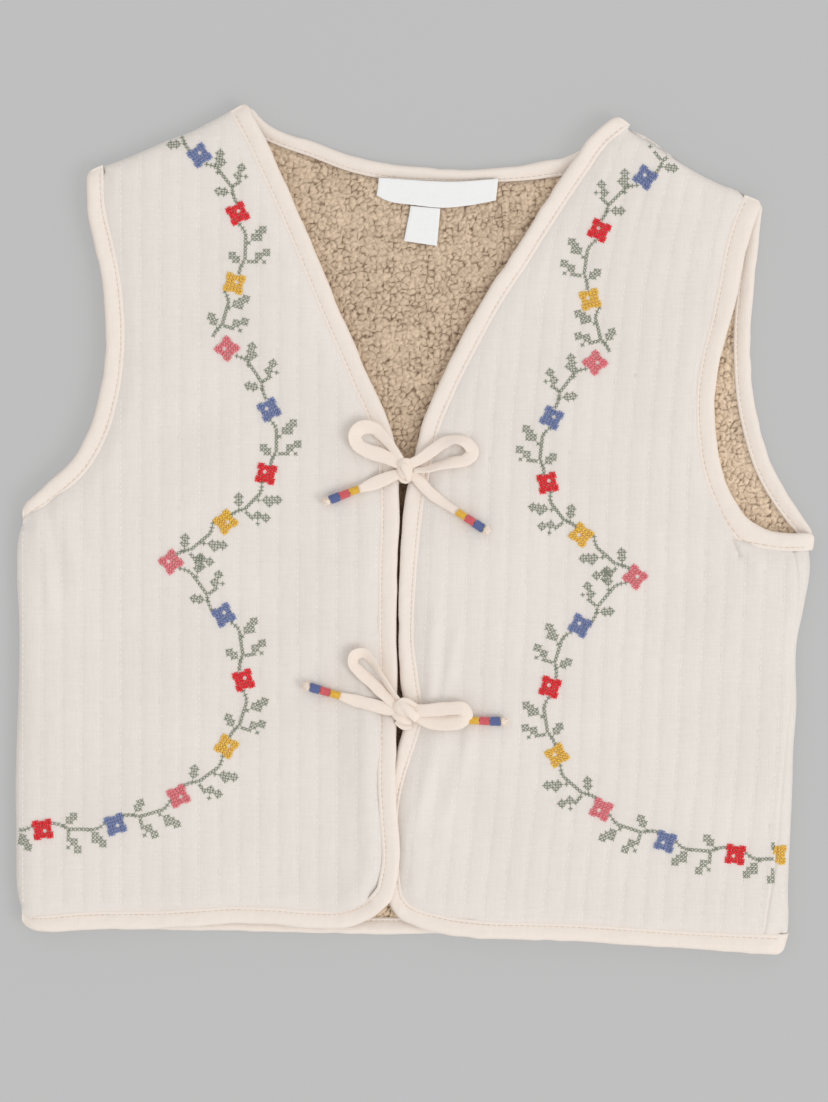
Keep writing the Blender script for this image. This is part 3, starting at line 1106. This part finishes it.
# The turns of tie that go under and round the knots, in the same columns.
WRAPS = {
    "upper_tie_under": [
        (-6.2, 23.6, 1.0, 2.6), (-5.2, 21.6, 0.7, 2.4), (-3.6, 21.0, 0.6, 2.4),
        (-1.4, 22.8, 0.9, 2.6)],
    "upper_knot_wrap": [
        (-6.6, 29.0, 2.6, 2.2), (-5.2, 28.2, 4.0, 2.8), (-3.6, 25.8, 4.3, 3.2),
        (-2.7, 23.2, 3.6, 2.8), (-2.2, 21.4, 1.6, 2.4)],
    "lower_knot_wrap": [
        (-8.4, -77.2, 1.8, 2.4), (-6.6, -76.6, 3.4, 3.4), (-3.6, -78.4, 4.5, 3.8),
        (-1.0, -81.0, 4.2, 4.0), (1.6, -83.4, 3.0, 4.2)],
    "lower_knot_pleat": [
        (-7.4, -77.2, 3.0, 2.0), (-5.2, -75.3, 3.6, 2.6), (-2.2, -75.9, 3.6, 2.8),
        (0.8, -77.8, 3.0, 2.4)],
    "lower_knot_turn": [
        (-9.2, -80.4, 1.2, 2.8), (-7.2, -82.4, 2.0, 3.4), (-4.2, -83.8, 2.2, 3.6),
        (-1.0, -84.2, 1.4, 3.2)]}
# The knots. Columns: x, y, height of the middle over the quilting, half length, half width, half
# height, turn in degrees.
UPPER_KNOT = (-4.0, 26.5, 1.8, 4.6, 3.5, 2.4, 98.0)
LOWER_KNOT = (-4.4, -78.9, 2.0, 4.9, 3.5, 2.5, -24.0)
# The threads wound round each end, from the tie outwards: how far out they reach, and colour.
WINDINGS = {"yellow": (1.72, (0.78, 0.46, 0.05)), "pink": (1.87, (0.66, 0.115, 0.13)),
            "blue": (2.07, (0.105, 0.14, 0.33))}
BAND = 4.6                  # length of one colour of wound thread
WOUND_THREAD = 0.27         # radius of that thread
FRAY = 2.3                  # how far the frayed cotton stands out
FIBRES, FIBRE = 150, 0.14   # how many fibres of it at one end, and their radius


def strip_rings(rows, seed):
    """Rings along a tie, from rows of place, height, width and turn."""
    run = smooth(np.array([(*row, 0.0)[:5] for row in rows]), 0.7)
    middle = run[:, :3] + (0, 0, QUILTING_TOP)
    ahead = unit(np.gradient(middle, axis=0))
    across, up = square_to(ahead)
    turn = np.radians(run[:, 4])[:, None]
    side = np.cos(turn) * across + np.sin(turn) * up
    through = np.cross(side, ahead)
    # The section: flat, round at both sides, with a sewn seam along one of them.
    angle = circle(TIE_SIDES)
    a = np.sign(np.cos(angle)) * np.abs(np.cos(angle)) ** 0.62
    h = np.sin(angle) * (1 - 0.35 * np.abs(np.cos(angle)) ** 6)
    along = lengths(middle)[:, None]
    crease = 0.28 * noise(along / 5, 2.4 * a + 0 * along, seed) * np.sign(h)
    seam = -0.22 * bell(a - 0.72, 0.09) * (h > 0)
    depth = TIE_THICK / 2 * (h + crease + seam)
    wide = run[:, 3:4] / 2 * a * (1 + 0.05 * noise(along / 4, 0 * along, seed + 1))
    rings = middle[:, None] + side[:, None] * wide[..., None] + through[:, None] * depth[..., None]
    return rings[:, ::-1], middle


def tie(name, node, rows, seed):
    """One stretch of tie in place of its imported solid."""
    rings, middle = strip_rings(rows, seed)
    return show(name, *swept(rings), tie_cotton, "tie", node), middle


def knot(name, node, row, seed):
    """A knot: cotton pulled tight into a barrel, creased along it."""
    x, y, over, long, wide, high, turn = row
    down, about = np.meshgrid(np.radians(np.linspace(2, 178, 40)), circle(72), indexing="ij")
    barrel = np.sin(down) ** 0.62
    twist = about + 0.5 * np.cos(down)
    crease = 1 - 0.10 * bell(np.sin(1.5 * twist + seed), 0.22)
    crease = crease - 0.06 * bell(np.sin(2.5 * twist + 2 * seed), 0.3)
    swell = 1 + 0.05 * noise(about * 1.2, down * 2, seed)
    size = barrel * swell * crease
    shape = np.stack([np.cos(down) * long * swell, np.cos(about) * wide * size,
                      np.sin(about) * high * size], axis=2)
    angle = math.radians(turn)
    spin = np.array([[math.cos(angle), math.sin(angle), 0],
                     [-math.sin(angle), math.cos(angle), 0], [0, 0, 1]])
    rings = shape @ spin + (x, y, QUILTING_TOP + over)
    show(name, *swept(rings[:, ::-1]), tie_cotton, "tie", node)


def wound(name, node, start, ahead, radius, finish, slot):
    """One colour of thread wound round the end of a tie."""
    turns = BAND / (1.85 * WOUND_THREAD)
    t = np.linspace(0, 1, int(turns * 16))
    angle = 2 * math.pi * turns * t
    across, up = square_to(ahead)
    out = np.cos(angle)[:, None] * across + np.sin(angle)[:, None] * up
    line = start + (0.5 * WOUND_THREAD + t[:, None] * (BAND - WOUND_THREAD)) * ahead
    line = line + (radius - WOUND_THREAD) * out
    ring = circle(6)[:, None]
    rings = line[:, None] + WOUND_THREAD * (np.cos(ring) * out[:, None] + np.sin(ring) * ahead)
    return show(name, *swept(rings), finish, slot, node)


def frayed(name, node, start, ahead, seed):
    """The cotton teased out beyond the wound thread: a round puff of fibres."""
    rng = np.random.default_rng(seed)
    middle = start + 0.62 * FRAY * ahead
    down, about = np.meshgrid(np.radians(np.linspace(4, 176, 14)), circle(20), indexing="ij")
    ball = np.stack([np.cos(down), np.sin(down) * np.cos(about), np.sin(down) * np.sin(about)],
                    axis=2)
    ball = ball * (0.78 * FRAY * (1 + 0.12 * noise(about * 1.5, down * 2.5, seed)))[..., None]
    ball = ball @ np.array([ahead, *square_to(ahead)]) + middle
    core = show(name + "_core", *swept(ball[:, ::-1]), tie_cotton, "tie")
    way = unit(rng.normal(0, 1, (FIBRES, 3)))
    swing = rng.uniform(-0.7, 0.7, (FIBRES, 3))
    t = np.linspace(0, 1, 5)[None, :, None]
    long = (FRAY * rng.uniform(0.75, 1.12, FIBRES))[:, None, None]
    paths = middle + way[:, None] * long * (0.3 + 0.7 * t) + swing[:, None] * t * (1 - 0.4 * t)
    made = threads(name, paths, FIBRE, tie_cotton, "tie")
    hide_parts(node)
    return [core, made]


tie_cotton = woven("soft tie cotton", TIE_CREAM, thread=0.30, depth=0.03, shade=0.03,
                   roughness=0.85)
winding_threads = {colour: spun(colour + " winding thread", tint)
                   for colour, (_, tint) in WINDINGS.items()}
for index, (end, rows) in enumerate(ENDS.items()):
    last, before = (np.array(row[:3]) + (0, 0, QUILTING_TOP) for row in rows[:-3:-1])
    ahead = unit((last - before) * (1, 1, 0))
    pieces = []
    for place, (colour, (radius, _)) in enumerate(WINDINGS.items()):
        start = last + ahead * place * BAND
        pieces.append(wound(f"{end}_{colour}_winding", f"{end}_{colour}", start, ahead, radius,
                            winding_threads[colour], colour + "_thread"))
    wound_length = len(WINDINGS) * BAND
    pieces += frayed(f"{end}_fray", f"{end}_tuft", last + ahead * wound_length, ahead, 90 + index)
    # The tie goes on inside the wound thread, level and narrower.
    hidden = [(*(last + ahead * d - (0, 0, QUILTING_TOP)), 2.5)
              for d in (3.0, 7.0, 11.0, wound_length - 0.4)]
    made, middle = tie(f"{end}_tie_end", f"{end}_tail", rows + hidden, 80 + index)
    length = lengths(middle)[-1] * 0.001
for index, (place, rows) in enumerate(LOOPS.items()):
    tie(f"{place}_bow_loop", f"{place}_loop", rows, 100 + 3 * index)
tie("lower_tie_under", "lower_tie_root", LOWER_ROOT, 115)
for index, (name, rows) in enumerate(WRAPS.items()):
    show(name, *swept(strip_rings(rows, 116 + index)[0]), tie_cotton, "tie")
knot("upper_bow_knot", "upper_knot", UPPER_KNOT, 121)
knot("lower_bow_knot", "lower_knot", LOWER_KNOT, 122)

# ---------------------------------------------------------------------------------------------
# Studio. A pale grey floor under soft, even light that comes a little more from the lower right,
# and a camera that looks straight down.
FLOOR_GREY = (0.20, 0.20, 0.20)
FLOOR_GLOW = 0.319          # the paper is lit from behind as well, so that shadows stay faint
FLOOR_HALF = 4.0            # half the size of the paper, in metres like all sizes of this section
FLOOR_DROP = 0.0003         # how far it lies under the cloth
DAYLIGHT = 0.845            # strength of the even light from all round
WINDOW_SIZE, WINDOW_POWER = 2.4, 66.0
WINDOW_AT = (3.0, -1.7, 3.4)
CAMERA_HEIGHT = 2.0
CLOTH_HEIGHT = 0.006        # level of the garment at which its size in the view is true
FRAME_HEIGHT = 0.48488      # height of the view at that level
AIM_Y = -0.00968

floor_mesh = bpy.data.meshes.new("floor")
floor_mesh.from_pydata([(x * FLOOR_HALF, y * FLOOR_HALF, 0)
                        for x, y in ((-1, -1), (1, -1), (1, 1), (-1, 1))], [], [(0, 1, 2, 3)])
floor = bpy.data.objects.new("floor", floor_mesh)
floor.location.z = -FLOOR_DROP
bpy.context.scene.collection.objects.link(floor)
paper = bpy.data.materials.new("grey paper")
paper.use_nodes = True
shader = paper.node_tree.nodes["Principled BSDF"]
shader.inputs["Base Color"].default_value = (*FLOOR_GREY, 1)
shader.inputs["Roughness"].default_value = 1.0
shader.inputs["Specular IOR Level"].default_value = 0.0
shader.inputs["Emission Color"].default_value = (1, 1, 1, 1)
shader.inputs["Emission Strength"].default_value = FLOOR_GLOW
floor_mesh.materials.append(paper)

world = bpy.data.worlds.new("studio")
world.use_nodes = True
light = world.node_tree.nodes["Background"]
light.inputs["Color"].default_value = (1, 1, 1, 1)
light.inputs["Strength"].default_value = DAYLIGHT
bpy.context.scene.world = world
bpy.context.scene.view_settings.view_transform = "Standard"

lamp = bpy.data.lights.new("window", "AREA")
lamp.shape = "DISK"
lamp.size = WINDOW_SIZE
lamp.energy = WINDOW_POWER
window = bpy.data.objects.new("window", lamp)
window.location = WINDOW_AT
window.rotation_euler = (-window.location).to_track_quat("-Z", "Y").to_euler()
bpy.context.scene.collection.objects.link(window)

lens = bpy.data.cameras.new("camera")
lens.sensor_width = 36.0
lens.lens = lens.sensor_width * (CAMERA_HEIGHT - CLOTH_HEIGHT) / FRAME_HEIGHT
camera = bpy.data.objects.new("camera", lens)
camera.location = (0.0, AIM_Y, CAMERA_HEIGHT)
bpy.context.scene.collection.objects.link(camera)
bpy.context.scene.camera = camera
